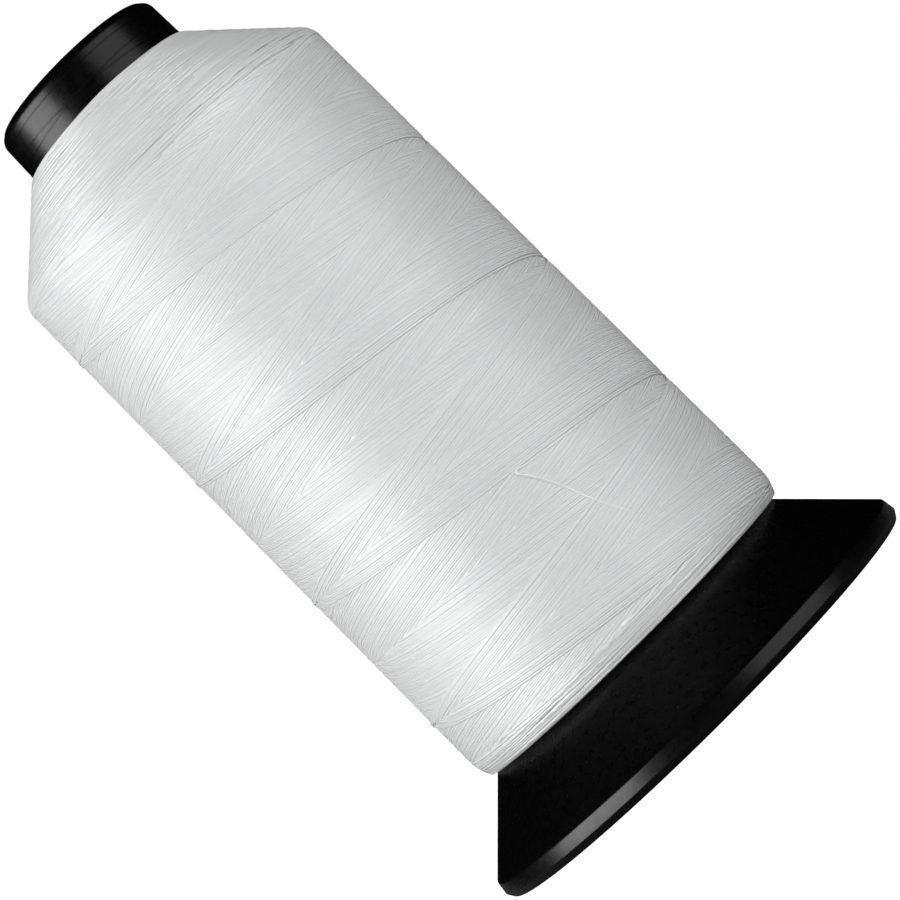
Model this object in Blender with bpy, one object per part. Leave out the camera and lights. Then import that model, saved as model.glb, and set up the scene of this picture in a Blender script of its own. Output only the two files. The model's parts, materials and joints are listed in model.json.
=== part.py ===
"""A cone of thread: white thread cross-wound on a black moulded spool.

The spool stands upright on the flat underside of its rim. +Z is up, the origin is at the middle of
the base, and the front of the object, where the loose end shows, faces -Y. Metres throughout.
"""

import math

import bmesh
import bpy
from mathutils import Vector

OBJECT_NAME = "cone_of_thread"
GAP = 0.0003        # clearance kept between neighbouring pieces
TURN_STEPS = 64     # sides of every turned piece

# Spool: collar, hidden tube, flared skirt, rim band
SPOOL_HEIGHT = 0.178
COLLAR_TOP_RADIUS = 0.02055
COLLAR_EDGE_RADIUS = 0.0010
COLLAR_FOOT_HEIGHT = 0.1690
COLLAR_FOOT_RADIUS = 0.02080
TUBE_FOOT_RADIUS = 0.0240
TUBE_FILLET_RADIUS = 0.0080
RIM_TOP_HEIGHT = 0.0043
RIM_TOP_RADIUS = 0.0540
RIM_LOW_HEIGHT = 0.0015
RIM_LOW_RADIUS = 0.0544
BASE_RADIUS = 0.0534
WALL = 0.0020
MOUTH_LIP_RADIUS = 0.0006

# Thread body: shoulder, barrel, rounded lower end; slopes are (radius, height) steps down the outside
SHOULDER_TOP_HEIGHT = 0.1686
SHOULDER_TOP_RADIUS = 0.0216
SHOULDER_LOW_HEIGHT = 0.1527
SHOULDER_LOW_RADIUS = 0.0382
BARREL_TOP_HEIGHT = 0.1490
BARREL_TOP_RADIUS = 0.0403
BARREL_LOW_HEIGHT = 0.0280
BARREL_LOW_RADIUS = 0.0412
LOWER_END_HEIGHT = 0.0195
LOWER_END_RADIUS = 0.0397
SHOULDER_SLOPE = (0.72, -0.69)
BARREL_SLOPE = (0.0, -1.0)
LOWER_END_SLOPE = (-0.45, -0.89)
SHOULDER_ROWS = 4
BARREL_ROWS = 32
ROUNDING_ROWS = 4
ROUNDING_REACH = 0.45

# The two families of wraps climb one lead for each turn and swell where they cross
WRAP_LEAD = 0.03335
CROSSING_HEIGHT = 0.1022
CROSSING_ANGLE = math.radians(-178.4)
SWELL = 0.00015
SWELL_FADE = 0.3 * WRAP_LEAD    # length over which the swells die away at both ends

# Loose end: rows are angle from the front in degrees, height above the base
THREAD_DIAMETER = 0.00042
LOOSE_END_ROUTE = (
    (36.0, 0.05660),
    (33.0, 0.05690),
    (30.0, 0.05720),
    (27.0, 0.05745),
    (24.0, 0.05775),
    (21.0, 0.05805),
    (18.0, 0.05835),
    (15.0, 0.05865),
    (12.0, 0.05895),
    (10.2, 0.05922),
    (9.10, 0.05952),
    (8.30, 0.05938),
    (8.20, 0.05870),
    (9.10, 0.05790),
    (10.9, 0.05595),
    (13.0, 0.05345),
    (15.4, 0.04975),
    (18.2, 0.04500),
    (21.0, 0.04130),
    (23.6, 0.03790),
)
LOOSE_END_STEPS = 56
KNOT_STEPS = 20

EDGE_STEPS = 3
LIP_STEPS = 2
FILLET_STEPS = 4
SHARP_ANGLE = math.radians(30.0)

PLASTIC_COLOUR = (0.012, 0.012, 0.014, 1.0)
THREAD_COLOUR = (0.80, 0.82, 0.84, 1.0)


def clear_scene():
    for item in list(bpy.data.objects):
        bpy.data.objects.remove(item, do_unlink=True)


def part_collection():
    group = bpy.data.collections.new(OBJECT_NAME)
    bpy.context.scene.collection.children.link(group)
    return group


def plain_material(name, colour, roughness):
    material = bpy.data.materials.new(name)
    material.use_nodes = True
    shader = material.node_tree.nodes["Principled BSDF"]
    shader.inputs["Base Color"].default_value = colour
    shader.inputs["Roughness"].default_value = roughness
    shader.inputs["Metallic"].default_value = 0.0
    return material


def add_part(group, name, data, material):
    part = bpy.data.objects.new(name, data)
    data.materials.append(material)
    group.objects.link(part)
    return part


def mix(low, high, share):
    return low + (high - low) * share


def arc(centre, radius, start_degrees, end_degrees, steps):
    """Points (radius, height) of an arc, both ends included."""
    points = []
    for step in range(steps + 1):
        angle = math.radians(mix(start_degrees, end_degrees, step / steps))
        points.append((centre[0] + radius * math.cos(angle), centre[1] + radius * math.sin(angle)))
    return points


def skirt_line_sum():
    """The 45 degree skirt is the line on which radius plus height is this."""
    return RIM_TOP_RADIUS + RIM_TOP_HEIGHT


def tube_fillet(inset):
    """Arc that leads from the tube's wall into the skirt, on a surface set in by inset."""
    radius = TUBE_FILLET_RADIUS + inset
    tube_radius = TUBE_FOOT_RADIUS - inset
    line_sum = skirt_line_sum() - inset * math.sqrt(2.0)
    centre_radius = tube_radius + radius
    centre_height = line_sum - centre_radius + radius * math.sqrt(2.0)
    return arc((centre_radius, centre_height), radius, 180.0, 225.0, FILLET_STEPS)


def spool_profile():
    """Closed outline of the spool's wall: down the outside, then up the inside."""
    edge = COLLAR_EDGE_RADIUS
    lip = MOUTH_LIP_RADIUS
    outside = arc((COLLAR_TOP_RADIUS - edge, SPOOL_HEIGHT - edge), edge, 90.0, 0.0, EDGE_STEPS)
    outside.append((COLLAR_FOOT_RADIUS, COLLAR_FOOT_HEIGHT))
    outside += tube_fillet(0.0)
    outside.append((RIM_TOP_RADIUS, RIM_TOP_HEIGHT))
    outside.append((RIM_LOW_RADIUS, RIM_LOW_HEIGHT))
    outside.append((BASE_RADIUS, 0.0))
    inner_rim = BASE_RADIUS - WALL
    inner_line_sum = skirt_line_sum() - WALL * math.sqrt(2.0)
    inside = [(inner_rim, 0.0), (inner_rim, inner_line_sum - inner_rim)]
    inside += list(reversed(tube_fillet(WALL)))
    mouth = COLLAR_TOP_RADIUS - WALL
    inside += arc((mouth + lip, SPOOL_HEIGHT - lip), lip, 180.0, 90.0, LIP_STEPS)
    return outside + inside


def barrel_radius(height):
    share = (height - BARREL_LOW_HEIGHT) / (BARREL_TOP_HEIGHT - BARREL_LOW_HEIGHT)
    return mix(BARREL_LOW_RADIUS, BARREL_TOP_RADIUS, share)


def eased_rows(start, end, start_slope, end_slope):
    """Rows of a smooth curve (cubic Bezier) between two (radius, height) points, ends left out."""
    reach = abs(start[1] - end[1]) * ROUNDING_REACH
    first = (start[0] + start_slope[0] * reach, start[1] + start_slope[1] * reach)
    last = (end[0] - end_slope[0] * reach, end[1] - end_slope[1] * reach)
    points = []
    for row in range(1, ROUNDING_ROWS):
        share = row / ROUNDING_ROWS
        rest = 1.0 - share
        weights = (rest ** 3, 3 * rest ** 2 * share, 3 * rest * share ** 2, share ** 3)
        knots = (start, first, last, end)
        radius = sum(weight * knot[0] for weight, knot in zip(weights, knots))
        height = sum(weight * knot[1] for weight, knot in zip(weights, knots))
        points.append((radius, height))
    return points


def thread_profile():
    """Closed outline of the wound body: down its outside, then back up beside the spool."""
    shoulder_top = (SHOULDER_TOP_RADIUS, SHOULDER_TOP_HEIGHT)
    shoulder_low = (SHOULDER_LOW_RADIUS, SHOULDER_LOW_HEIGHT)
    barrel_top = (BARREL_TOP_RADIUS, BARREL_TOP_HEIGHT)
    barrel_low = (BARREL_LOW_RADIUS, BARREL_LOW_HEIGHT)
    lower_end = (LOWER_END_RADIUS, LOWER_END_HEIGHT)
    outside = []
    for row in range(SHOULDER_ROWS + 1):
        share = row / SHOULDER_ROWS
        radius = mix(shoulder_top[0], shoulder_low[0], share)
        outside.append((radius, mix(shoulder_top[1], shoulder_low[1], share)))
    outside += eased_rows(shoulder_low, barrel_top, SHOULDER_SLOPE, BARREL_SLOPE)
    for row in range(BARREL_ROWS + 1):
        height = mix(BARREL_TOP_HEIGHT, BARREL_LOW_HEIGHT, row / BARREL_ROWS)
        outside.append((barrel_radius(height), height))
    outside += eased_rows(barrel_low, lower_end, BARREL_SLOPE, LOWER_END_SLOPE)
    outside.append(lower_end)
    beside_skirt = list(reversed(tube_fillet(-GAP)))
    beside_collar = [(COLLAR_FOOT_RADIUS + GAP, SHOULDER_TOP_HEIGHT)]
    return outside + beside_skirt + beside_collar


def ring_mesh(name, outline):
    """Turn a closed outline around Z into a mesh ring."""
    shape = bmesh.new()
    corners = [shape.verts.new((radius, 0.0, height)) for radius, height in outline]
    edges = []
    for index, corner in enumerate(corners):
        edges.append(shape.edges.new((corner, corners[(index + 1) % len(corners)])))
    bmesh.ops.spin(
        shape,
        geom=corners + edges,
        cent=(0.0, 0.0, 0.0),
        axis=(0.0, 0.0, 1.0),
        angle=2.0 * math.pi,
        steps=TURN_STEPS,
        use_merge=True,
    )
    bmesh.ops.recalc_face_normals(shape, faces=shape.faces)
    mesh = bpy.data.meshes.new(name)
    shape.to_mesh(mesh)
    shape.free()
    mesh.shade_smooth()
    mesh.set_sharp_from_angle(angle=SHARP_ANGLE)
    return mesh


def swell_at(angle, height):
    """Height of the low swells: most where a rising and a falling band of wraps cross."""
    turn = (angle - CROSSING_ANGLE) / (2.0 * math.pi)
    climb = (height - CROSSING_HEIGHT) / WRAP_LEAD
    rising = math.cos(2.0 * math.pi * (turn - climb))
    falling = math.cos(2.0 * math.pi * (turn + climb))
    fade_top = min(1.0, max(0.0, (BARREL_TOP_HEIGHT - height) / SWELL_FADE))
    fade_low = min(1.0, max(0.0, (height - BARREL_LOW_HEIGHT) / SWELL_FADE))
    return SWELL * (rising + falling) * fade_top * fade_low


def add_swells(mesh):
    """Push the barrel's outside in and out; the inside of the ring stays as it is."""
    inside_limit = 0.5 * (TUBE_FOOT_RADIUS + BARREL_TOP_RADIUS)
    for vertex in mesh.vertices:
        radius = math.hypot(vertex.co.x, vertex.co.y)
        height = vertex.co.z
        on_barrel = BARREL_LOW_HEIGHT < height < BARREL_TOP_HEIGHT
        if on_barrel and radius > inside_limit:
            angle = math.atan2(vertex.co.y, vertex.co.x)
            scale = (radius + swell_at(angle, height)) / radius
            vertex.co.x *= scale
            vertex.co.y *= scale


def smooth_points(knots, steps):
    """Even points of a Catmull-Rom curve through the knots."""
    dense = []
    for index in range(len(knots) - 1):
        before = knots[max(index - 1, 0)]
        start = knots[index]
        end = knots[index + 1]
        after = knots[min(index + 2, len(knots) - 1)]
        for part in range(KNOT_STEPS):
            share = part / KNOT_STEPS
            dense.append(
                0.5 * (
                    2.0 * start
                    + (end - before) * share
                    + (2.0 * before - 5.0 * start + 4.0 * end - after) * share ** 2
                    + (3.0 * start - before - 3.0 * end + after) * share ** 3
                )
            )
    dense.append(knots[-1])
    travelled = [0.0]
    for first, second in zip(dense, dense[1:]):
        travelled.append(travelled[-1] + (second - first).length)
    points = []
    segment = 0
    for step in range(steps + 1):
        target = travelled[-1] * step / steps
        while segment < len(dense) - 2 and travelled[segment + 1] < target:
            segment += 1
        span = travelled[segment + 1] - travelled[segment]
        points.append(dense[segment].lerp(dense[segment + 1], (target - travelled[segment]) / span))
    return points


def loose_end_points():
    """The loose end's middle line, lying just clear of the barrel."""
    knots = []
    for degrees, height in LOOSE_END_ROUTE:
        angle = math.radians(degrees - 90.0)
        surface = barrel_radius(height) + swell_at(angle, height)
        radius = surface + GAP + 0.5 * THREAD_DIAMETER
        knots.append(Vector((radius * math.cos(angle), radius * math.sin(angle), height)))
    return smooth_points(knots, LOOSE_END_STEPS)


def make_spool(group):
    """The black spool, one moulded piece, open right through."""
    mesh = ring_mesh("spool", spool_profile())
    return add_part(group, "spool", mesh, plain_material("black_plastic", PLASTIC_COLOUR, 0.3))


def make_thread(group, material):
    """All the wraps together, as one solid of their wound form."""
    mesh = ring_mesh("thread", thread_profile())
    add_swells(mesh)
    return add_part(group, "thread", mesh, material)


def make_loose_end(group, material):
    """The free length of thread that lies on the front of the barrel."""
    curve = bpy.data.curves.new("thread_end", "CURVE")
    curve.dimensions = "3D"
    curve.bevel_depth = 0.5 * THREAD_DIAMETER
    curve.bevel_resolution = 2
    curve.use_fill_caps = True
    points = loose_end_points()
    spline = curve.splines.new("POLY")
    spline.points.add(len(points) - 1)
    for target, point in zip(spline.points, points):
        target.co = (point.x, point.y, point.z, 1.0)
    return add_part(group, "thread_end", curve, material)


def main():
    clear_scene()
    group = part_collection()
    thread_material = plain_material("white_thread", THREAD_COLOUR, 0.5)
    make_spool(group)
    make_thread(group, thread_material)
    make_loose_end(group, thread_material)


main()
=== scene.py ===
# %% [markdown]
# # A cone of white thread
# A big cone of sewing thread is a black moulded spool with several kilometres of thread wound on it,
# crosswise, so that the package holds together without side flanges.
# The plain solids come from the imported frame. This lesson gives them their looks: a finely turned
# spool, every wrap of thread that shows, the loose end, and the light of a small product studio.

# %% Load the frame
import json
import math

import bpy
import numpy as np
from mathutils import Matrix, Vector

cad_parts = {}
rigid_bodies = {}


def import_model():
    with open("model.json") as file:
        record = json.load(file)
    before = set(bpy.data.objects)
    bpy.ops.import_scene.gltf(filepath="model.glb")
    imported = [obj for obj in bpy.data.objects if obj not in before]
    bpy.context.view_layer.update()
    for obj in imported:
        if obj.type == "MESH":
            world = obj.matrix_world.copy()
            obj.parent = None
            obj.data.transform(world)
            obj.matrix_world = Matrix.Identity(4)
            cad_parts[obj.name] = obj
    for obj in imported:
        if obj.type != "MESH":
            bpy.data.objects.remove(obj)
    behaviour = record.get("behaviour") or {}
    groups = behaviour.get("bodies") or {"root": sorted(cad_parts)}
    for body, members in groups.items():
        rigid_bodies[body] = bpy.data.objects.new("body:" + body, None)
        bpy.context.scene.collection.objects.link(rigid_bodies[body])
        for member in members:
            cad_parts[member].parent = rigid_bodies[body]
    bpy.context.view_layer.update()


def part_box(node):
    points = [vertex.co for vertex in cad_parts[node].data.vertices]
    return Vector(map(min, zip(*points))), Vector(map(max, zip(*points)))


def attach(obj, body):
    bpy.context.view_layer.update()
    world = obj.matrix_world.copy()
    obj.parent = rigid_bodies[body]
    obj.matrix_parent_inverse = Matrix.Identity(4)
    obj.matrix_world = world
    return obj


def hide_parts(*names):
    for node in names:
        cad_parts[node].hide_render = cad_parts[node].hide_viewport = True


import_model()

spool_low, spool_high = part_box("spool")
thread_low, thread_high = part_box("thread")
print("spool height", round(spool_high.z, 4))
print("thread from", round(thread_low.z, 4), "to", round(thread_high.z, 4))

# %% [markdown]
# ## Camera
# Long lenses keep a tall object's sides nearly parallel. This one stands two thirds of a metre away,
# a third of the way up the cone, and is tilted up a little. It is rolled by almost 45 degrees, so the
# upright cone lies across the frame from corner to corner. A camera matrix could be typed in as
# sixteen numbers. Built from a stand, an aim and a roll, it says what each number does.

# %% Camera
scene = bpy.context.scene
MM = 0.001
CAMERA_LENS = 132.0
CAMERA_DISTANCE = 660.0 * MM
CAMERA_HEIGHT = 55.9 * MM
CAMERA_TILT = math.radians(1.39)
CAMERA_ROLL = math.radians(-44.9)
CAMERA_NEAREST = 0.05
CAMERA_FARTHEST = 50.0

camera_data = bpy.data.cameras.new("camera")
camera_data.lens = CAMERA_LENS
camera_data.clip_start = CAMERA_NEAREST
camera_data.clip_end = CAMERA_FARTHEST
camera = bpy.data.objects.new("camera", camera_data)
scene.collection.objects.link(camera)
stand = Matrix.Translation((0.0, -CAMERA_DISTANCE, CAMERA_HEIGHT))
aim = Matrix.Rotation(math.radians(90.0) + CAMERA_TILT, 4, "X")
camera.matrix_world = stand @ aim @ Matrix.Rotation(CAMERA_ROLL, 4, "Z")
scene.camera = camera
scene.view_settings.view_transform = "Standard"
print("camera is", CAMERA_DISTANCE, "m away with a", CAMERA_LENS, "mm lens")

# %% [markdown]
# ## How the thread lies
# The winder's guide moves the thread up and down while the spool turns. Each turn climbs, or falls,
# by one lead. Each trip of the guide lands a strand's width beside the one before, so after 76 trips
# the pattern closes and a new layer starts. Two numbers then say all about a spot on the surface:
# how long ago the newest rising wrap passed it, and how long ago the newest falling one did, both as
# a share of a layer. The younger family lies on top, and the surface is higher where both are young.
# A bump texture could fake this, but its edge would stay smooth. The same few formulas place every
# wrap, the older thread under them and the loose end on top, so that they all fit together. Angles
# here are counted in turns from the front, positive to the right.

# %% Sizes of the winding
LEAD = 33.35 * MM
STRANDS = 76
STRAND_DIAMETER = 0.42 * MM
LAYER_STEP = 0.42 * MM
CROSSING_HEIGHT = 102.2 * MM
CROSSING_TURN = -88.4 / 360.0
TRIP_TURNS = 4.0
CROSSING_CLIMB = 2.5
BOTTOM_APEX = CROSSING_HEIGHT - CROSSING_CLIMB * LEAD
TOP_APEX = BOTTOM_APEX + TRIP_TURNS * LEAD

BARREL_TOP = (40.30 * MM, 149.0 * MM)
BARREL_LOW = (41.20 * MM, 28.0 * MM)
SHOULDER_TOP = (21.60 * MM, thread_high.z)
SHOULDER_LOW = (38.20 * MM, 152.7 * MM)
LOWER_END = (39.75 * MM, thread_low.z + 0.7 * MM)
print("one layer is", STRANDS, "trips; a strand's pitch is", round(LEAD / STRANDS / MM, 3), "mm")


# %% Outline of the wound body
ROUNDING_REACH = 0.45
ROUNDING_ROWS = 12


def bezier(start, end, start_slope, end_slope):
    """Rows (radius, height) of a smooth curve between two rows."""
    reach = ROUNDING_REACH * abs(end[1] - start[1])
    knots = np.array([
        start,
        (start[0] + start_slope[0] * reach, start[1] + start_slope[1] * reach),
        (end[0] - end_slope[0] * reach, end[1] - end_slope[1] * reach),
        end,
    ])
    share = np.linspace(0.0, 1.0, ROUNDING_ROWS)[:, None]
    rest = 1.0 - share
    weights = np.hstack([rest ** 3, 3 * rest ** 2 * share, 3 * rest * share ** 2, share ** 3])
    return weights @ knots


lower_curve = bezier(LOWER_END, BARREL_LOW, (0.45, 0.89), (0.0, 1.0))
upper_curve = bezier(BARREL_TOP, SHOULDER_LOW, (0.0, 1.0), (-0.72, 0.69))
outline = np.vstack([lower_curve, upper_curve, [SHOULDER_TOP]])
along_outline = np.concatenate([[0.0], np.cumsum(np.hypot(*np.diff(outline, axis=0).T))])
shoulder_start = along_outline[len(lower_curve) + len(upper_curve) - 1]


def body_radius(height):
    """Radius of the wound body without its waves."""
    return np.interp(height, outline[:, 1], outline[:, 0])


def outline_at(distance):
    """(radius, height) at a distance along the outline, counted from its lower end."""
    radius = np.interp(distance, along_outline, outline[:, 0])
    return radius, np.interp(distance, along_outline, outline[:, 1])


print("outline runs", round(along_outline[-1] / MM, 1), "mm from skirt to collar")


# %% Ages of the wraps and height of the surface
TOP_ROUNDING = 0.15
LOW_ROUNDING = 0.13
NEWEST_SINK = 0.40
NEWEST_SHARE = 0.022


def rounded(turns, rounding):
    """Distance from the point where the guide turns back, in leads, with the corner rounded off."""
    far = np.abs(turns)
    return np.where(far < rounding, (far ** 2 + rounding ** 2) / (2.0 * rounding), far)


def unrounded(leads, rounding):
    """The turns that belong to a distance in leads: the reverse of rounded."""
    near = np.sqrt(np.maximum(2.0 * rounding * leads - rounding ** 2, 0.0))
    return np.where(leads > rounding, leads, near)


def climb_at(height):
    """Turns that a rising wrap has made since it left the bottom."""
    from_low = unrounded((height - BOTTOM_APEX) / LEAD, LOW_ROUNDING)
    from_top = TRIP_TURNS - unrounded((TOP_APEX - height) / LEAD, TOP_ROUNDING)
    return np.where(height < CROSSING_HEIGHT, from_low, from_top)


def ages_at(turn, height):
    """Ages, from 0 to 1, of the newest rising and the newest falling wrap."""
    climb = climb_at(height)
    start = turn - CROSSING_TURN + CROSSING_CLIMB
    return np.mod(start - climb, 1.0), np.mod(start + climb, 1.0)


def settled(age):
    """Age that counts for the height: the few newest wraps are pressed in where their band starts."""
    return age + NEWEST_SINK * np.exp(-age / NEWEST_SHARE)


def surface_radius(turn, height):
    """Radius of the wound surface at an angle and a height."""
    rising, falling = ages_at(turn, height)
    return body_radius(height) + LAYER_STEP * (1.0 - settled(rising) - settled(falling))


def place(turn, radius, height):
    """Points in the frame from turns, radii and heights."""
    angle = 2.0 * math.pi * turn
    return np.stack([radius * np.sin(angle), -radius * np.cos(angle), height + 0.0 * turn], axis=-1)


front_radius = float(surface_radius(0.0, CROSSING_HEIGHT))
print("radius at the front, halfway up:", round(front_radius / MM, 2), "mm")

# %% [markdown]
# ## Building meshes from arrays
# Thousands of wraps would be slow as separate curve objects. Arrays of numbers work out all their
# points at once, and one mesh takes them. Every face is a quad: a tube's end is closed with two quads
# across its six sides. A tube also gets coordinates that run along it, for the twist of its plies.


# %% A mesh from points and quads
def mesh_from_quads(name, points, quads):
    """A smooth mesh from arrays of points and of quads."""
    mesh = bpy.data.meshes.new(name)
    mesh.vertices.add(len(points))
    mesh.vertices.foreach_set("co", np.ascontiguousarray(points, np.float32).ravel())
    mesh.loops.add(quads.size)
    mesh.loops.foreach_set("vertex_index", quads.astype(np.int32).ravel())
    mesh.polygons.add(len(quads))
    mesh.polygons.foreach_set("loop_start", np.arange(0, quads.size, 4, dtype=np.int32))
    mesh.update(calc_edges=True)
    mesh.shade_smooth()
    return mesh


def add_object(name, data, material):
    """Put a piece in the scene, on the part's one body."""
    piece = bpy.data.objects.new(name, data)
    scene.collection.objects.link(piece)
    data.materials.append(material)
    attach(piece, "root")
    return piece


def grid_quads(rows, columns, close_rows):
    """Quads of a grid whose columns close in a ring, and whose rows may too."""
    row = np.arange(rows if close_rows else rows - 1)
    column = np.arange(columns)
    here = row[:, None] * columns + column
    beside = row[:, None] * columns + (column + 1) % columns
    above = ((row[:, None] + 1) % rows) * columns + column
    across = ((row[:, None] + 1) % rows) * columns + (column + 1) % columns
    return np.stack([here, beside, across, above], axis=-1).reshape(-1, 4)


def unit(vectors):
    return vectors / np.linalg.norm(vectors, axis=-1, keepdims=True)


print("one turn of a ring of six columns takes", len(grid_quads(2, 6, False)), "quads")

# %% Tubes
TUBE_SIDES = 6
METRES_TO_CM = 100.0


def tube(path, half_width, half_height):
    """Points, quads and (along, around) coordinates of one closed tube with an oval section."""
    count = len(path)
    ahead = unit(np.gradient(path, axis=0))
    outward = unit(path * np.array([1.0, 1.0, 0.0]))
    across = unit(np.cross(ahead, outward))
    outward = np.cross(across, ahead)
    angle = 2.0 * math.pi * (np.arange(TUBE_SIDES) + 0.5) / TUBE_SIDES
    sideways = half_width * np.cos(angle)[:, None] * across[:, None, :]
    upright = half_height * np.sin(angle)[:, None] * outward[:, None, :]
    points = (path[:, None, :] + sideways + upright).reshape(-1, 3)
    walls = grid_quads(count, TUBE_SIDES, False)
    first = np.array([[0, 1, 2, 3], [0, 3, 4, 5]])[:, ::-1]
    last = np.array([[0, 1, 2, 3], [0, 3, 4, 5]]) + (count - 1) * TUBE_SIDES
    along = np.concatenate([[0.0], np.cumsum(np.linalg.norm(np.diff(path, axis=0), axis=1))])
    side = np.arange(TUBE_SIDES) / TUBE_SIDES
    step = 1.0 / TUBE_SIDES
    low = np.repeat(along[:-1], TUBE_SIDES)
    high = np.repeat(along[1:], TUBE_SIDES)
    left = np.tile(side, count - 1)
    run = np.stack([
        np.stack([low, left], axis=-1),
        np.stack([low, left + step], axis=-1),
        np.stack([high, left + step], axis=-1),
        np.stack([high, left], axis=-1),
    ], axis=1)
    caps = np.zeros((4, 4, 2))
    caps[2:, :, 0] = along[-1]
    return points, np.vstack([walls, first, last]), np.vstack([run, caps])


def tubes_object(name, paths, section, shades, material):
    """One object from many tubes. Each vertex keeps its strand's own shade number."""
    points, quads, runs, marks = [], [], [], []
    offset = 0
    for path, shade in zip(paths, shades):
        tube_points, tube_quads, tube_run = tube(path, *section)
        points.append(tube_points)
        quads.append(tube_quads + offset)
        runs.append(tube_run)
        marks.append(np.full(len(tube_points), shade))
        offset += len(tube_points)
    mesh = mesh_from_quads(name, np.vstack(points), np.vstack(quads))
    run_map = mesh.uv_layers.new(name="strand_run")
    run_map.uv.foreach_set("vector", (np.vstack(runs) * (METRES_TO_CM, 1.0)).astype(np.float32).ravel())
    shade_mark = mesh.attributes.new("strand_shade", "FLOAT", "POINT")
    shade_mark.data.foreach_set("value", np.concatenate(marks).astype(np.float32))
    print(name, len(paths), "tubes,", 2 * len(mesh.polygons), "triangles")
    return add_object(name, mesh, material)


print("each tube has", TUBE_SIDES, "sides")

# %% [markdown]
# ## Shader groups
# Both finishes have a soft mottle from the way their surfaces were made, at different scales. It could
# be built anew in each material. As a node group it is made once, with its own inputs and outputs, and
# each material sets its own values. Two more groups draw specks of dust, and the twist of the plies
# along a strand. A group puts out only masks and heights, never a shader.


# %% Helpers for nodes
def new_group(name, inputs, outputs):
    """A shader group; inputs are (name, value) pairs, and all sockets are plain numbers."""
    group = bpy.data.node_groups.new(name, "ShaderNodeTree")
    for label, value in inputs:
        socket = group.interface.new_socket(label, in_out="INPUT", socket_type="NodeSocketFloat")
        socket.default_value = value
    for label in outputs:
        group.interface.new_socket(label, in_out="OUTPUT", socket_type="NodeSocketFloat")
    return group, group.nodes.new("NodeGroupInput"), group.nodes.new("NodeGroupOutput")


def maths(tree, operation, first, second=None):
    """A Math node; each operand is a number or an output socket."""
    node = tree.nodes.new("ShaderNodeMath")
    node.operation = operation
    for index, value in enumerate((first, second)):
        if isinstance(value, (int, float)):
            node.inputs[index].default_value = value
        elif value is not None:
            tree.links.new(value, node.inputs[index])
    return node.outputs[0]


def noise(tree, vector, scale, detail):
    node = tree.nodes.new("ShaderNodeTexNoise")
    node.inputs["Detail"].default_value = detail
    tree.links.new(vector, node.inputs["Vector"])
    tree.links.new(scale, node.inputs["Scale"])
    return node.outputs["Fac"]


def ramp(tree, value, low, high):
    """0 up to low, 1 from high, smooth between."""
    node = tree.nodes.new("ShaderNodeMapRange")
    node.interpolation_type = "SMOOTHSTEP"
    tree.links.new(value, node.inputs["Value"])
    node.inputs["From Min"].default_value = low
    node.inputs["From Max"].default_value = high
    return node.outputs["Result"]


print("a new group's sockets hold plain numbers")


# %% Mottle, dust and ply twist
def make_mottle_group():
    """A slow unevenness and a fine grain."""
    tree, given, made = new_group(
        "soft_mottle", [("Scale", 300.0), ("Grain Scale", 3000.0)], ["Height", "Grain"]
    )
    where = tree.nodes.new("ShaderNodeTexCoord").outputs["Object"]
    tree.links.new(noise(tree, where, given.outputs["Scale"], 3.0), made.inputs["Height"])
    tree.links.new(noise(tree, where, given.outputs["Grain Scale"], 1.0), made.inputs["Grain"])
    return tree


def make_dust_group():
    """A mask of a few round specks."""
    tree, given, made = new_group(
        "dust_specks", [("Scale", 500.0), ("Size", 0.08), ("Rarity", 0.72)], ["Mask"]
    )
    where = tree.nodes.new("ShaderNodeTexCoord").outputs["Object"]
    cells = tree.nodes.new("ShaderNodeTexVoronoi")
    tree.links.new(where, cells.inputs["Vector"])
    tree.links.new(given.outputs["Scale"], cells.inputs["Scale"])
    near = maths(tree, "LESS_THAN", cells.outputs["Distance"], given.outputs["Size"])
    pick = tree.nodes.new("ShaderNodeSeparateColor")
    tree.links.new(cells.outputs["Color"], pick.inputs["Color"])
    chosen = maths(tree, "GREATER_THAN", pick.outputs["Red"], given.outputs["Rarity"])
    tree.links.new(maths(tree, "MULTIPLY", near, chosen), made.inputs["Mask"])
    return tree


def make_twist_group():
    """Three plies twisted together: a wave that runs slantwise along each strand."""
    # Its second output marks the grooves between the plies, where the thread material paints shade.
    tree, given, made = new_group(
        "ply_twist", [("Turns per cm", 5.0), ("Plies", 3.0)], ["Height", "Valley Shade"]
    )
    run = tree.nodes.new("ShaderNodeUVMap")
    run.uv_map = "strand_run"
    split = tree.nodes.new("ShaderNodeSeparateXYZ")
    tree.links.new(run.outputs["UV"], split.inputs["Vector"])
    turns = maths(tree, "MULTIPLY", split.outputs["X"], given.outputs["Turns per cm"])
    slanted = maths(tree, "ADD", turns, split.outputs["Y"])
    phase = maths(tree, "MULTIPLY", slanted, given.outputs["Plies"])
    wave = maths(tree, "PINGPONG", phase, 0.5)
    tree.links.new(ramp(tree, wave, 0.0, 0.5), made.inputs["Height"])
    tree.links.new(ramp(tree, wave, 0.15, 0.0), made.inputs["Valley Shade"])
    return tree


mottle_group = make_mottle_group()
dust_group = make_dust_group()
twist_group = make_twist_group()
print("shader groups:", [group.name for group in bpy.data.node_groups])


# %% [markdown]
# ## The thread's finish
# Bonded thread is smooth, with a soft sheen, and no two wraps catch the light alike. A woven texture
# on a plain body could stand for the wraps. They are real tubes here, so the material only adds each
# strand's own shade, the faint twist of its plies and a slight unevenness, with painted shade: the
# grooves between the plies and the body under the wraps are tinted a little darker. Even this darkest
# colour is pale, because light that goes in between white wraps bounces out again. The loose end gets
# a whiter copy of the material, a painted highlight.


# %% Helpers for materials
def use_group(tree, group, **values):
    node = tree.nodes.new("ShaderNodeGroup")
    node.node_tree = group
    for label, value in values.items():
        node.inputs[label.replace("_", " ")].default_value = value
    return node


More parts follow.
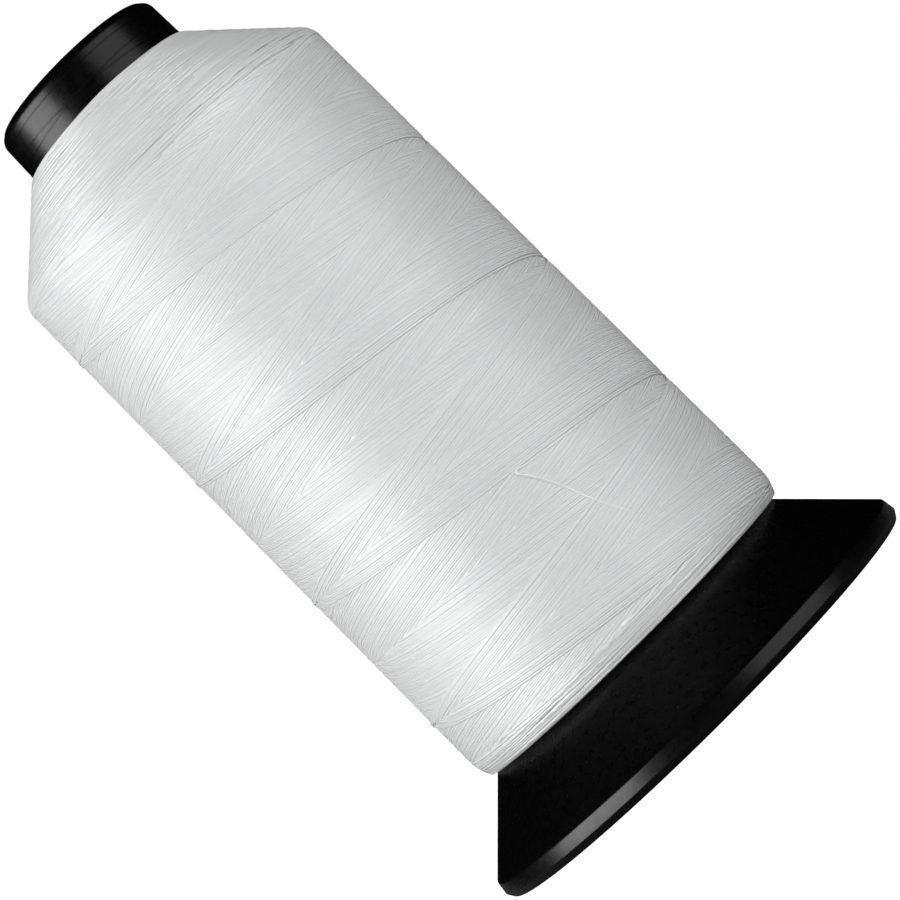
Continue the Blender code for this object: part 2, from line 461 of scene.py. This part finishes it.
def blend_colours(tree, factor, first, second):
    node = tree.nodes.new("ShaderNodeMix")
    node.data_type = "RGBA"
    tree.links.new(factor, node.inputs["Factor"])
    for socket, value in ((node.inputs[6], first), (node.inputs[7], second)):
        if isinstance(value, tuple):
            socket.default_value = value
        else:
            tree.links.new(value, socket)
    return node.outputs[2]


def add_bump(tree, height, strength, distance, onto=None):
    node = tree.nodes.new("ShaderNodeBump")
    node.inputs["Strength"].default_value = strength
    node.inputs["Distance"].default_value = distance
    tree.links.new(height, node.inputs["Height"])
    if onto is not None:
        tree.links.new(onto, node.inputs["Normal"])
    return node.outputs["Normal"]


print("helpers place a group, blend two colours and add a bump")

# %% Thread materials
THREAD_PALE = (0.885, 0.895, 0.895, 1.0)
# Painted highlight: the loose end is the same thread, tinted whiter so that it reads lit.
THREAD_LOOSE_HIGHLIGHT = (1.000, 1.000, 1.000, 1.0)
THREAD_DEEP = (0.850, 0.862, 0.868, 1.0)
# Painted shade: the tint for the grooves between the plies and for the body under the wraps.
THREAD_VALLEY_SHADE = (0.830, 0.845, 0.855, 1.0)


def make_thread_material(name, has_run, pale=THREAD_PALE):
    """White thread; has_run says whether the mesh has coordinates along its strands."""
    material = bpy.data.materials.new(name)
    material.use_nodes = True
    tree = material.node_tree
    shader = tree.nodes["Principled BSDF"]
    shader.inputs["Roughness"].default_value = 0.45
    shader.inputs["IOR"].default_value = 1.57
    shader.inputs["Specular IOR Level"].default_value = 1.0
    mottle = use_group(tree, mottle_group, Scale=160.0, Grain_Scale=2600.0)
    uneven = ramp(tree, mottle.outputs["Height"], 0.3, 0.7)
    if has_run:
        shade = tree.nodes.new("ShaderNodeAttribute")
        shade.attribute_name = "strand_shade"
        tone = maths(tree, "MULTIPLY", maths(tree, "ADD", shade.outputs["Fac"], uneven), 0.5)
        colour = blend_colours(tree, tone, THREAD_DEEP, pale)
        twist = use_group(tree, twist_group)
        # Painted shade: the grooves between the plies are tinted darker.
        valley_shade = maths(tree, "MULTIPLY", twist.outputs["Valley Shade"], 0.2)
        colour = blend_colours(tree, valley_shade, colour, THREAD_VALLEY_SHADE)
        normal = add_bump(tree, twist.outputs["Height"], 0.2, 0.02 * MM)
        normal = add_bump(tree, mottle.outputs["Grain"], 0.15, 0.02 * MM, normal)
    else:
        # Painted shade: the body under the wraps, seen only between them, is tinted darker than the
        # wraps.
        colour = blend_colours(tree, uneven, THREAD_VALLEY_SHADE, THREAD_DEEP)
        normal = add_bump(tree, mottle.outputs["Grain"], 0.3, 0.05 * MM)
    tree.links.new(colour, shader.inputs["Base Color"])
    tree.links.new(normal, shader.inputs["Normal"])
    return material


thread_material = make_thread_material("wound_thread", True)
core_material = make_thread_material("inner_wraps", False)
# Painted highlight: the loose end gets a whiter copy of the thread material, with a coat, so it stands
# out lit.
loose_highlight_material = make_thread_material("loose_thread_highlight", True, THREAD_LOOSE_HIGHLIGHT)
loose_shader = loose_highlight_material.node_tree.nodes["Principled BSDF"]
loose_shader.inputs["Coat Weight"].default_value = 1.0
loose_shader.inputs["Coat Roughness"].default_value = 0.35
print("thread materials:", [thread_material.name, core_material.name, loose_highlight_material.name])

# %% [markdown]
# ## The loose end
# The last wrap comes round from the right, kinks where the cutter let it go, stands proud for a
# centimetre and then slips under a few wraps, where it only shows as a low ridge. A curve object with
# a bevel could draw it. It is made as one more tube, so that it shares the strands' section and twist.
# It is a fixed length of limp cord.

# %% Loose end
# Rows: degrees from the front, height above the base, height of its middle over the wound surface
LOOSE_END_ROUTE = np.array([
    (36.0, 0.05660, -0.00010),
    (33.0, 0.05690, -0.00004),
    (30.0, 0.05720, 0.00000),
    (27.0, 0.05745, 0.00000),
    (24.0, 0.05775, 0.00000),
    (21.0, 0.05805, 0.00000),
    (18.0, 0.05835, 0.00000),
    (15.0, 0.05865, 0.00002),
    (12.0, 0.05895, 0.00006),
    (10.2, 0.05922, 0.00018),
    (9.10, 0.05952, 0.00045),
    (8.30, 0.05938, 0.00062),
    (8.20, 0.05870, 0.00072),
    (9.10, 0.05790, 0.00068),
    (10.9, 0.05595, 0.00056),
    (13.0, 0.05345, 0.00036),
    (15.4, 0.04975, 0.00004),
    (18.2, 0.04500, -0.00012),
    (21.0, 0.04130, -0.00020),
    (23.6, 0.03790, -0.00028),
])
LOOSE_END_STEPS = 140
STEPS_PER_KNOT = 24
HALF_STRAND = 0.53 * STRAND_DIAMETER
ROUND_SECTION = (HALF_STRAND, HALF_STRAND)


def smooth_path(knots, steps):
    """Evenly spaced points of a Catmull-Rom curve through the knots, and its length."""
    padded = np.vstack([knots[:1], knots, knots[-1:]])
    dense = []
    for before, start, end, after in zip(padded, padded[1:], padded[2:], padded[3:]):
        share = np.linspace(0.0, 1.0, STEPS_PER_KNOT, endpoint=False)[:, None]
        dense.append(0.5 * (
            2.0 * start
            + (end - before) * share
            + (2.0 * before - 5.0 * start + 4.0 * end - after) * share ** 2
            + (3.0 * start - before - 3.0 * end + after) * share ** 3
        ))
    dense = np.vstack(dense + [knots[-1:]])
    run = np.concatenate([[0.0], np.cumsum(np.linalg.norm(np.diff(dense, axis=0), axis=1))])
    even = np.linspace(0.0, run[-1], steps)
    return np.stack([np.interp(even, run, dense[:, axis]) for axis in range(3)], axis=-1), run[-1]


route_turn = LOOSE_END_ROUTE[:, 0] / 360.0
route_height = LOOSE_END_ROUTE[:, 1]
route_surface = surface_radius(route_turn, route_height)
route_points = place(route_turn, route_surface + LOOSE_END_ROUTE[:, 2], route_height)
loose_path, loose_length = smooth_path(route_points, LOOSE_END_STEPS)
loose_end = tubes_object(
    "loose_end", [loose_path], ROUND_SECTION, [1.0], loose_highlight_material
)
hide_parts("thread_end")
print("loose end is", round(loose_length / MM, 1), "mm long")

# %% [markdown]
# ## Wraps on the barrel
# Each trip up and down is one strand of eight turns. Where the other family is younger the strand is
# buried. Whole strands could be made, but most of their length would never be seen, so only the
# visible stretches are. A stretch begins where the strand climbs over the other family, on one of the
# level rings where both are the same age, and ends where it slips under the newest wrap of the other
# family. Small seeded drifts keep the strands from looking machine-ruled.

# %% Wraps on the barrel
SEED = 12
rng = np.random.default_rng(SEED)
SAMPLES_PER_TURN = 80
DIVE_TURNS = 0.005
DIVE_STEPS = (-2.4, -1.4, -0.7, 0.0, 0.7)
DIVE_END = 1.4
HIDDEN_TURNS = 0.012
PRESSED_SECTION = (0.275 * MM, 0.10 * MM)
# Rows: waves in a turn, size
WANDER = ((0.6, 0.045 * MM), (1.7, 0.03 * MM), (4.1, 0.015 * MM))
WANDER_OUTWARD = 0.4
SHIFT_SPREAD = 0.035 * MM
LIFT_SPREAD = 0.012 * MM
APEX_SPREAD = 1.3 * MM
APEX_REACH = 0.3
LOWEST_STRAND = 0.5 * MM
strand_shift = rng.normal(0.0, SHIFT_SPREAD, STRANDS)
strand_lift = rng.normal(0.0, LIFT_SPREAD, STRANDS)
strand_shade = rng.random(STRANDS)
wander_phase = rng.random((STRANDS, len(WANDER), 2)) * 2.0 * math.pi
top_shift = rng.uniform(-1.0, 1.0, STRANDS) * APEX_SPREAD
low_shift = rng.uniform(-1.0, 1.0, STRANDS) * APEX_SPREAD
print("strands turn back up to", round(float(np.abs(top_shift).max()) / MM, 2), "mm from the mean line")


# %% One visible stretch
def wander(strand, travelled, which):
    """Slow drift of one strand from its ideal line."""
    total = np.zeros_like(travelled)
    for index, (rate, size) in enumerate(WANDER):
        phase = wander_phase[strand, index, which]
        total += size * np.sin(2.0 * math.pi * rate * travelled + phase)
    return total


def strand_height(strand, travelled):
    """Height of a strand's middle after so many turns from the bottom: up four turns, then down."""
    from_top = travelled - TRIP_TURNS
    from_low = np.minimum(travelled, 2.0 * TRIP_TURNS - travelled)
    upper = TOP_APEX - LEAD * rounded(from_top, TOP_ROUNDING)
    lower = BOTTOM_APEX + LEAD * rounded(from_low, LOW_ROUNDING)
    height = np.where(np.abs(from_top) < 0.5 * TRIP_TURNS, upper, lower)
    near_top = np.clip(1.0 - np.abs(from_top) / APEX_REACH, 0.0, 1.0) ** 2
    near_low = np.clip(1.0 - np.abs(from_low) / APEX_REACH, 0.0, 1.0) ** 2
    height = height + top_shift[strand] * near_top + low_shift[strand] * near_low
    return np.maximum(height, LOWER_END[1] + LOWEST_STRAND)


def smooth_step(value):
    """0 below 0, 1 above 1, smooth between."""
    value = np.clip(value, 0.0, 1.0)
    return value * value * (3.0 - 2.0 * value)


def visible_stretch(strand, window):
    """Middle line of one visible stretch of one strand."""
    age = strand / STRANDS
    start = 0.5 * window
    length = 0.5 * (1.0 - age)
    lead_in = start + DIVE_TURNS * np.array(DIVE_STEPS)
    count = max(2, int(math.ceil((length + HIDDEN_TURNS) * SAMPLES_PER_TURN)))
    rest = np.linspace(start + DIVE_END * DIVE_TURNS, start + length + HIDDEN_TURNS, count)
    travelled = np.concatenate([lead_in, rest])
    other = age + 2.0 * (travelled - start)
    turn = CROSSING_TURN + age - CROSSING_CLIMB + travelled
    height = strand_height(strand, travelled) + strand_shift[strand] + wander(strand, travelled, 0)
    over = smooth_step(0.5 + 0.5 * (travelled - start) / DIVE_TURNS)
    layer = LAYER_STEP * (over - settled(age) - other)
    lift = strand_lift[strand] + WANDER_OUTWARD * wander(strand, travelled, 1)
    radius = body_radius(height) + layer + lift - PRESSED_SECTION[1]
    return place(turn, radius, height)


print("a full stretch has", len(visible_stretch(0, 0)), "points along it")


# %% All wraps on the barrel
def lay_wraps():
    """All visible stretches, sorted into rising and falling, lower and upper pieces."""
    groups = {"rising_low": [], "rising_high": [], "falling_low": [], "falling_high": []}
    for strand in range(STRANDS):
        for window in range(int(4 * TRIP_TURNS)):
            middle = 0.5 * window + 0.25
            direction = "rising" if middle < TRIP_TURNS else "falling"
            level = "low" if abs(middle - TRIP_TURNS) > 0.5 * TRIP_TURNS else "high"
            path = visible_stretch(strand, window)
            groups[direction + "_" + level].append((path, strand_shade[strand]))
    return groups


for group_name, stretches in lay_wraps().items():
    paths, shades = zip(*stretches)
    tubes_object("wraps_" + group_name, paths, PRESSED_SECTION, shades, thread_material)

# %% [markdown]
# ## Wraps on the shoulder
# As the package grew, the guide's trips grew shorter, so each layer ends a little lower than the one
# under it. The shoulder is made of the places where those layers turned back: nearly level wraps,
# a little wavy, lying over one another in uneven terraces. Full rings would look like a screw, so
# short arcs that surface and go under again are laid instead. The same arcs fill the lower end.

# %% Wraps on the shoulder
SHOULDER_PITCH = 0.32 * MM
ARC_SAMPLES_PER_TURN = 72
ARC_FEWEST_SAMPLES = 8
ARC_WAVES = ((2.0, 0.10), (5.0, 0.05), (11.0, 0.02))
ARC_LOWEST = 0.3 * MM
ARC_SINK_SPREAD = 0.035
ARC_END_DIVE = 0.2 * MM
ARC_JITTER = 0.06
ARC_SHORTEST = 0.22
ARC_LONGEST = 0.5
ARC_STRIDE = 0.82
SLANT = 0.7


def level_arc(distance, middle_turn, turns, dip):
    """One wrap that comes up from under its neighbours, runs level and goes under again."""
    count = max(ARC_FEWEST_SAMPLES, int(turns * ARC_SAMPLES_PER_TURN))
    share = np.linspace(-1.0, 1.0, count)
    turn = middle_turn + 0.5 * turns * share
    wave_phase = rng.random(3) * 2.0 * math.pi
    wave = sum(
        size * MM * np.sin(2.0 * math.pi * rate * turn + phase)
        for (rate, size), phase in zip(ARC_WAVES, wave_phase)
    )
    along = np.maximum(distance - dip * share ** 2 + wave, ARC_LOWEST)
    radius, height = outline_at(along)
    near_end = np.clip(np.abs(share) * 4.0 - 3.0, 0.0, 1.0)
    sink = rng.normal(0.0, ARC_SINK_SPREAD) * MM - ARC_END_DIVE * near_end
    inward = (PRESSED_SECTION[1] - sink) * SLANT
    return place(turn, radius - inward, height - inward)


def level_arcs(first, last, most_dip):
    """Arcs that cover the outline from one distance along it to another."""
    arcs = []
    for distance in np.arange(first, last, SHOULDER_PITCH):
        turn = rng.random()
        end = turn + 1.0
        while turn < end:
            turns = rng.uniform(ARC_SHORTEST, ARC_LONGEST)
            jitter = rng.normal(0.0, ARC_JITTER) * MM
            dip = rng.uniform(0.1, 1.0) * most_dip
            arcs.append(level_arc(distance + jitter, turn + 0.5 * turns, turns, dip))
            turn += ARC_STRIDE * turns
    return arcs


def lay_level_arcs(name, first, last, most_dip):
    """One object of level arcs, each with a shade of its own."""
    paths = level_arcs(first, last, most_dip)
    shades = rng.random(len(paths))
    return tubes_object(name, paths, PRESSED_SECTION, shades, thread_material)


lay_level_arcs("wraps_shoulder", shoulder_start - 3.6 * MM, along_outline[-1] - 0.3 * MM, 1.2 * MM)
lay_level_arcs("wraps_low_end", 0.35 * MM, 4.8 * MM, -1.2 * MM)

# %% [markdown]
# ## The body under the wraps
# Between the wraps the older thread shows. More layers of tubes would cost millions of faces for
# slivers of colour, so one ring fills the package: its outside follows the wound surface a little
# deeper than the wraps' middle lines, and its inside follows the spool.

# %% Body under the wraps
CORE_DEPTH = 0.13 * MM
SHOULDER_SINK = -0.06 * MM
CORE_COLUMNS = 300
CORE_ROWS = 250
CLEARANCE = 0.3 * MM
BARREL_MARGIN = 2.0 * MM
TUBE_RADIUS = 24.0 * MM


def lowest_nearby(values):
    """Each cell takes the lowest of itself and its neighbours; columns close in a ring."""
    sideways = np.minimum(values, np.minimum(np.roll(values, 1, axis=1), np.roll(values, -1, axis=1)))
    above = np.vstack([sideways[1:], sideways[-1:]])
    below = np.vstack([sideways[:1], sideways[:-1]])
    return np.minimum(sideways, np.minimum(above, below))


def make_core():
    """The ring of older thread."""
    turn = np.arange(CORE_COLUMNS) / CORE_COLUMNS
    distance = np.linspace(0.0, along_outline[-1], CORE_ROWS)
    radius, height = outline_at(distance)
    turns, heights = np.meshgrid(turn, height)
    rising, falling = ages_at(turns, heights)
    on_barrel = (heights > BOTTOM_APEX + BARREL_MARGIN) & (heights < BARREL_TOP[1])
    waves = LAYER_STEP * (1.0 - settled(rising) - settled(falling))
    swell = np.where(on_barrel, waves, SHOULDER_SINK)
    outside = lowest_nearby(radius[:, None] + swell) - CORE_DEPTH
    inner_profile = np.array([
        (SHOULDER_TOP[0] - 0.5 * MM, thread_high.z - CLEARANCE),
        (TUBE_RADIUS + CLEARANCE, 32.0 * MM),
        (LOWER_END[0] - 1.6 * MM, thread_low.z + 1.4 * MM),
    ])
    outer_points = place(turns, outside, heights).reshape(-1, 3)
    inner_turns, inner_heights = np.meshgrid(turn, inner_profile[:, 1])
    inner_radii = np.broadcast_to(inner_profile[:, :1], inner_turns.shape)
    inner_points = place(inner_turns, inner_radii, inner_heights).reshape(-1, 3)
    points = np.vstack([outer_points, inner_points])
    quads = grid_quads(CORE_ROWS + len(inner_profile), CORE_COLUMNS, True)
    return mesh_from_quads("wound_body", points, quads)


# Its material is painted shade: a little darker than the wraps it shows between.
wound_body = add_object("wound_body", make_core(), core_material)
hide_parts("thread")
print("wound body has", 2 * len(wound_body.data.polygons), "triangles")

# %% [markdown]
# ## The spool
# The spool is one moulding in glossy black plastic: a collar, a tube that the thread hides, and a
# skirt that flares at 45 degrees to a narrow rim band. A screw or spin modifier could turn it from an
# outline. Turned from arrays, it can also carry the collar's fine marks as real dents: a line just
# under its edge and two shallow rings that cross on the front, left by the mould's insert.

# %% Spool outline
COLLAR_TOP_RADIUS = 20.55 * MM
COLLAR_EDGE = 2.2 * MM
COLLAR_CROWN = 1.05 * MM
COLLAR_FOOT_RADIUS = 20.80 * MM
COLLAR_FOOT_HEIGHT = 169.0 * MM
FILLET_RADIUS = 8.0 * MM
RIM_TOP = (54.0 * MM, 4.3 * MM)
RIM_LOW = (spool_high.x, 1.5 * MM)
BASE_RADIUS = 53.4 * MM
WALL = 2.0 * MM
LIP_RADIUS = 0.6 * MM


def arc_rows(centre, radius, start, end, steps):
    """Rows of an arc; its angles are in degrees."""
    angle = np.radians(np.linspace(start, end, steps))
    return np.stack([centre[0] + radius * np.cos(angle), centre[1] + radius * np.sin(angle)], axis=-1)


def straight_rows(start, end, steps):
    """Rows of a straight line, both ends included."""
    share = np.linspace(0.0, 1.0, steps)[:, None]
    return np.array(start) * (1.0 - share) + np.array(end) * share


def soft_corner(before, corner, after, size, steps=5):
    """Rows that round off a corner between two others (quadratic curve)."""
    before, corner, after = (np.array(row) for row in (before, corner, after))
    start = corner + size * unit(before - corner)
    end = corner + size * unit(after - corner)
    share = np.linspace(0.0, 1.0, steps)[:, None]
    return start * (1 - share) ** 2 + 2.0 * corner * share * (1 - share) + end * share ** 2


def fillet_rows(inset):
    """Arc from the tube's wall into the skirt, on a surface set in by inset."""
    radius = FILLET_RADIUS + inset
    tube_radius = TUBE_RADIUS - inset
    line_sum = RIM_TOP[0] + RIM_TOP[1] - inset * math.sqrt(2.0)
    centre = (tube_radius + radius, line_sum - tube_radius - radius + radius * math.sqrt(2.0))
    return arc_rows(centre, radius, 180.0, 225.0, 8)


def spool_rows():
    """The closed outline: down the outside, then up the inside."""
    top = spool_high.z + COLLAR_CROWN
    edge_centre = (COLLAR_TOP_RADIUS - COLLAR_EDGE, top - COLLAR_EDGE)
    edge = arc_rows(edge_centre, COLLAR_EDGE, 90.0, 0.0, 10)
    collar = straight_rows(edge[-1], (COLLAR_FOOT_RADIUS, COLLAR_FOOT_HEIGHT), 84)[1:]
    neck = straight_rows(collar[-1], fillet_rows(0.0)[0], 10)[1:-1]
    skirt_foot = fillet_rows(0.0)[-1]
    skirt = straight_rows(skirt_foot, RIM_TOP, 24)[1:-1]
    base_point = (BASE_RADIUS, 0.0)
    inner_rim = BASE_RADIUS - WALL
    inner_sum = RIM_TOP[0] + RIM_TOP[1] - WALL * math.sqrt(2.0)
    inner_corner = (inner_rim, inner_sum - inner_rim)
    inner_fillet = fillet_rows(WALL)[::-1]
    mouth = COLLAR_TOP_RADIUS - WALL
    return np.vstack([
        edge,
        collar,
        neck,
        fillet_rows(0.0),
        skirt,
        soft_corner(skirt_foot, RIM_TOP, RIM_LOW, 0.35 * MM),
        soft_corner(RIM_TOP, RIM_LOW, base_point, 0.25 * MM),
        soft_corner(RIM_LOW, base_point, (inner_rim, 0.0), 0.25 * MM),
        soft_corner(base_point, (inner_rim, 0.0), inner_corner, 0.25 * MM),
        soft_corner((inner_rim, 0.0), inner_corner, inner_fillet[0], 0.4 * MM),
        straight_rows(inner_corner, inner_fillet[0], 16)[2:-1],
        inner_fillet,
        straight_rows(inner_fillet[-1], (mouth, top - LIP_RADIUS), 24)[1:-1],
        arc_rows((mouth + LIP_RADIUS, top - LIP_RADIUS), LIP_RADIUS, 180.0, 90.0, 8),
    ])


print("the spool's outline has", len(spool_rows()), "rows")

# %% Spool mesh with its moulding marks
SPOOL_COLUMNS = 320
EDGE_LINE_HEIGHT = 175.9 * MM
EDGE_LINE_DEPTH = 0.05 * MM
EDGE_LINE_WIDTH = 0.11 * MM
RING_MARK_HEIGHT = 171.8 * MM
RING_MARK_TURN = -0.07 / (2.0 * math.pi)
RING_MARK_RISE = 1.2 * MM
RING_MARK_DEPTH = 0.05 * MM
RING_MARK_WIDTH = 0.17 * MM


def dent(distance, width):
    """1 in the middle of a soft groove, 0 away from it."""
    return np.exp(-(distance / width) ** 2)


def collar_dents(turn, height):
    """Depth of the moulding marks on the collar."""
    angle = 2.0 * math.pi * (turn - RING_MARK_TURN)
    tilt = RING_MARK_RISE * np.sin(angle)
    marks = dent(height - RING_MARK_HEIGHT - tilt, RING_MARK_WIDTH)
    marks = np.maximum(marks, dent(height - RING_MARK_HEIGHT + tilt, RING_MARK_WIDTH))
    line = dent(height - EDGE_LINE_HEIGHT, EDGE_LINE_WIDTH)
    return RING_MARK_DEPTH * marks + EDGE_LINE_DEPTH * line


def make_spool_mesh():
    """The outline turned round the bore, with its marks pressed in."""
    rows = spool_rows()
    turn = np.arange(SPOOL_COLUMNS) / SPOOL_COLUMNS
    turns, heights = np.meshgrid(turn, rows[:, 1])
    radii = np.broadcast_to(rows[:, :1], turns.shape)
    outside = (heights > COLLAR_FOOT_HEIGHT) & (radii > COLLAR_TOP_RADIUS - 0.5 * COLLAR_EDGE)
    radii = radii - np.where(outside, collar_dents(turns, heights), 0.0)
    points = place(turns, radii, heights).reshape(-1, 3)
    return mesh_from_quads("spool", points, grid_quads(len(rows), SPOOL_COLUMNS, True))


spool_mesh = make_spool_mesh()
print("spool mesh has", len(spool_mesh.polygons), "quads")

# %% [markdown]
# ## The plastic's finish
# Moulded plastic looks black, but its surface is not a perfect mirror: it is slightly wavy where the
# melt cooled, has a fine grain, and is paler and duller in worn patches. Here and there lies a speck
# of dust. One flat black would read as a hole. The mottle gives the highlight on the collar and the
# rim something to break on, and it drives colour, roughness and bump together.


# %% Plastic material
PLASTIC_BLACK = (0.0008, 0.0008, 0.0010, 1.0)
PLASTIC_WORN = (0.0014, 0.0014, 0.0017, 1.0)
DUST_COLOUR = (0.30, 0.30, 0.29, 1.0)
LEAST_ROUGH = 0.26
WORN_ROUGH = 0.05


def make_plastic_material():
    """Satin black plastic."""
    material = bpy.data.materials.new("black_plastic")
    material.use_nodes = True
    tree = material.node_tree
    shader = tree.nodes["Principled BSDF"]
    shader.inputs["IOR"].default_value = 1.48
    mottle = use_group(tree, mottle_group, Scale=600.0, Grain_Scale=3000.0)
    dust = use_group(tree, dust_group, Scale=140.0, Size=0.022, Rarity=0.975)
    worn = ramp(tree, mottle.outputs["Height"], 0.25, 0.80)
    colour = blend_colours(tree, worn, PLASTIC_BLACK, PLASTIC_WORN)
    colour = blend_colours(tree, dust.outputs["Mask"], colour, DUST_COLOUR)
    tree.links.new(colour, shader.inputs["Base Color"])
    rough = maths(tree, "ADD", maths(tree, "MULTIPLY", worn, WORN_ROUGH), LEAST_ROUGH)
    tree.links.new(rough, shader.inputs["Roughness"])
    normal = add_bump(tree, mottle.outputs["Height"], 0.40, 0.05 * MM)
    normal = add_bump(tree, mottle.outputs["Grain"], 0.6, 0.02 * MM, normal)
    tree.links.new(normal, shader.inputs["Normal"])
    return material


plastic_material = make_plastic_material()
spool = add_object("spool_body", spool_mesh, plastic_material)
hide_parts("spool")
print("spool has", 2 * len(spool.data.polygons), "triangles")

# %% [markdown]
# ## Floor and light
# Two tall soft boxes stand left and right of the camera, the left one much brighter, and give their
# gloss to plastic and thread alike. Four more give gloss to the thread alone: two beside the first
# pair, and two behind the cone, which pick out the single wraps near its edges. Two others give the
# even, matt light. One large light could do all of this, but it would turn the black skirt grey before
# the thread was white. Camera rays that miss the cone see a plain white floor and a plain white room.

# %% Floor
FLOOR_SIZE = 12.0
FLOOR_GLOW = 0.92
FLOOR_PALE = (0.85, 0.85, 0.85, 1.0)
FLOOR_MIRRORED = (0.20, 0.20, 0.20, 1.0)


def make_floor_material():
    """Pale and matt; it glows a little for the camera, and looks dark in the gloss of the plastic."""
    material = bpy.data.materials.new("studio_floor")
    material.use_nodes = True
    tree = material.node_tree
    shader = tree.nodes["Principled BSDF"]
    shader.inputs["Roughness"].default_value = 0.9
    shader.inputs["Specular IOR Level"].default_value = 0.0
    shader.inputs["Emission Color"].default_value = (1.0, 1.0, 1.0, 1.0)
    path = tree.nodes.new("ShaderNodeLightPath")
    glow = maths(tree, "MULTIPLY", path.outputs["Is Camera Ray"], FLOOR_GLOW)
    colour = blend_colours(tree, path.outputs["Is Glossy Ray"], FLOOR_PALE, FLOOR_MIRRORED)
    tree.links.new(colour, shader.inputs["Base Color"])
    tree.links.new(glow, shader.inputs["Emission Strength"])
    return material


floor_mesh = bpy.data.meshes.new("floor")
half_floor = 0.5 * FLOOR_SIZE
floor_level = spool_low.z - 0.05 * MM
floor_corners = [
    (-half_floor, -half_floor, floor_level),
    (half_floor, -half_floor, floor_level),
    (half_floor, half_floor, floor_level),
    (-half_floor, half_floor, floor_level),
]
floor_mesh.from_pydata(floor_corners, [], [(0, 1, 2, 3)])
floor_mesh.materials.append(make_floor_material())
floor = bpy.data.objects.new("floor", floor_mesh)
scene.collection.objects.link(floor)
print("floor is", FLOOR_SIZE, "m wide")

# %% Soft boxes
LIGHT_DISTANCE = 1.25
LIGHT_AIM_HEIGHT = 0.09
# Rows: name, degrees round from the camera (right is positive), height of its middle over the
# aim, width, height, brightness, and what it lights: gloss or matt looks, or only the thread's gloss
SOFT_BOXES = (
    ("left_box", -66.0, 0.0, 1.18, 1.50, 4.9, "gloss"),
    ("right_box", 48.0, 0.0, 1.15, 1.50, 1.1, "gloss"),
    ("right_glint", 47.0, 0.0, 1.20, 1.50, 3.5, "thread"),
    ("left_glint", -63.0, 0.0, 1.00, 1.50, 2.1, "thread"),
    ("right_edge", 124.0, 0.0, 1.10, 1.50, 0.95, "thread"),
    ("left_edge", -124.0, 0.0, 0.90, 1.50, 0.55, "thread"),
    ("left_fill", -84.0, 0.32, 1.30, 0.70, 2.95, "matt"),
    ("front_fill", 8.0, 0.42, 1.50, 0.90, 1.95, "matt"),
)
thread_pieces = bpy.data.collections.new("thread_pieces")
scene.collection.children.link(thread_pieces)
for piece in list(scene.objects):
    if piece.name.startswith(("wraps_", "wound_body", "loose_end")):
        thread_pieces.objects.link(piece)


def add_soft_box(name, degrees, lift, width, height, brightness, lights):
    """A soft box that faces the cone."""
    light = bpy.data.lights.new(name, "AREA")
    light.shape = "RECTANGLE"
    light.size = width
    light.size_y = height
    light.energy = brightness * math.pi * width * height
    box = bpy.data.objects.new(name, light)
    turn = Matrix.Rotation(math.radians(degrees), 4, "Z")
    stand_off = Matrix.Translation((0.0, -LIGHT_DISTANCE, LIGHT_AIM_HEIGHT + lift))
    face_cone = Matrix.Rotation(math.radians(90.0) - math.atan2(lift, LIGHT_DISTANCE), 4, "X")
    box.matrix_world = turn @ stand_off @ face_cone
    box.visible_camera = False
    box.visible_diffuse = lights == "matt"
    box.visible_glossy = lights != "matt"
    if lights == "thread":
        box.light_linking.receiver_collection = thread_pieces
    scene.collection.objects.link(box)


for soft_box in SOFT_BOXES:
    add_soft_box(*soft_box)

# %% Room
WORLD_FILL = 0.22
WORLD_GLOSS = 0.002
WHITE = (1.0, 1.0, 1.0, 1.0)


def make_room():
    """White to the camera, almost black in reflections, and a soft fill for everything else."""
    world = bpy.data.worlds.new("studio")
    world.use_nodes = True
    tree = world.node_tree
    background = tree.nodes["Background"]
    rays = tree.nodes.new("ShaderNodeLightPath")
    not_glossy = maths(tree, "SUBTRACT", 1.0, rays.outputs["Is Glossy Ray"])
    fill = maths(tree, "ADD", maths(tree, "MULTIPLY", not_glossy, WORLD_FILL), WORLD_GLOSS)
    strength = maths(tree, "MAXIMUM", rays.outputs["Is Camera Ray"], fill)
    tree.links.new(strength, background.inputs["Strength"])
    background.inputs["Color"].default_value = WHITE
    return world


scene.world = make_room()
print("room fill is", WORLD_FILL)
